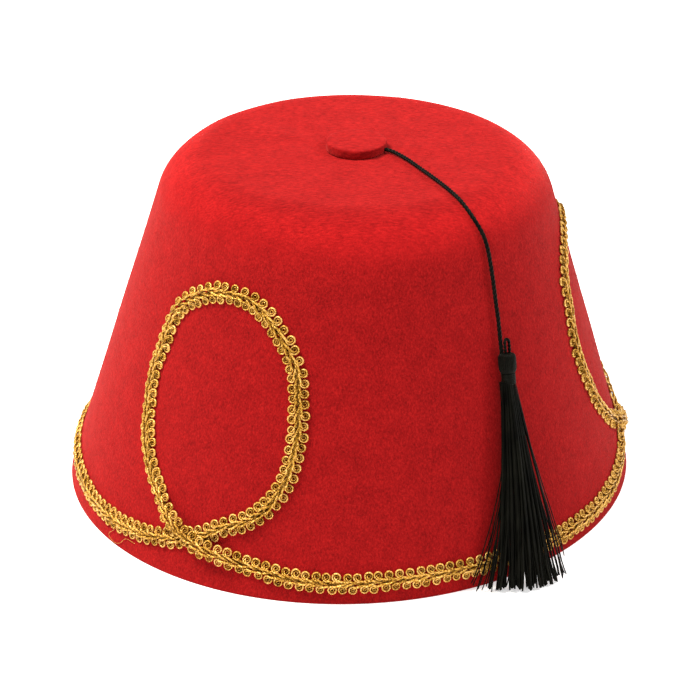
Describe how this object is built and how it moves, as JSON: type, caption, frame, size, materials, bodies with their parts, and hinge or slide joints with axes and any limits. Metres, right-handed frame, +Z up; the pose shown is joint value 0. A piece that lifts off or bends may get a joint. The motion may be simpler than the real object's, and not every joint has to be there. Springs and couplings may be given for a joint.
{
  "type": "fez hat",
  "caption": "Brimless felt cap shaped as a cut-off cone with a flat top, looped gimp braid round the wall and a corded tassel; worn on the head as costume or parade dress.",
  "frame": {"origin": "middle of the hat's footprint, on the surface that it rests on", "axes": "+Z up through the flat top; -Y is the front, the side that the picture looks at; the tassel hangs at the front right, between +X and -Y"},
  "size_m": [0.1913, 0.1894, 0.1166],
  "materials": {
    "red_felt": "pressed wool felt, matt",
    "gold_gimp": "gimp braid of shiny gold thread",
    "black_thread": "silky black rayon thread"
  },
  "bodies": {
    "root": {"crown": "red_felt", "top_button": "red_felt", "gimp_braid": "gold_gimp", "tassel_cord": "black_thread", "tassel_loop": "black_thread", "tassel": "black_thread", "tassel_binding": "black_thread"}
  },
  "joints": []
}
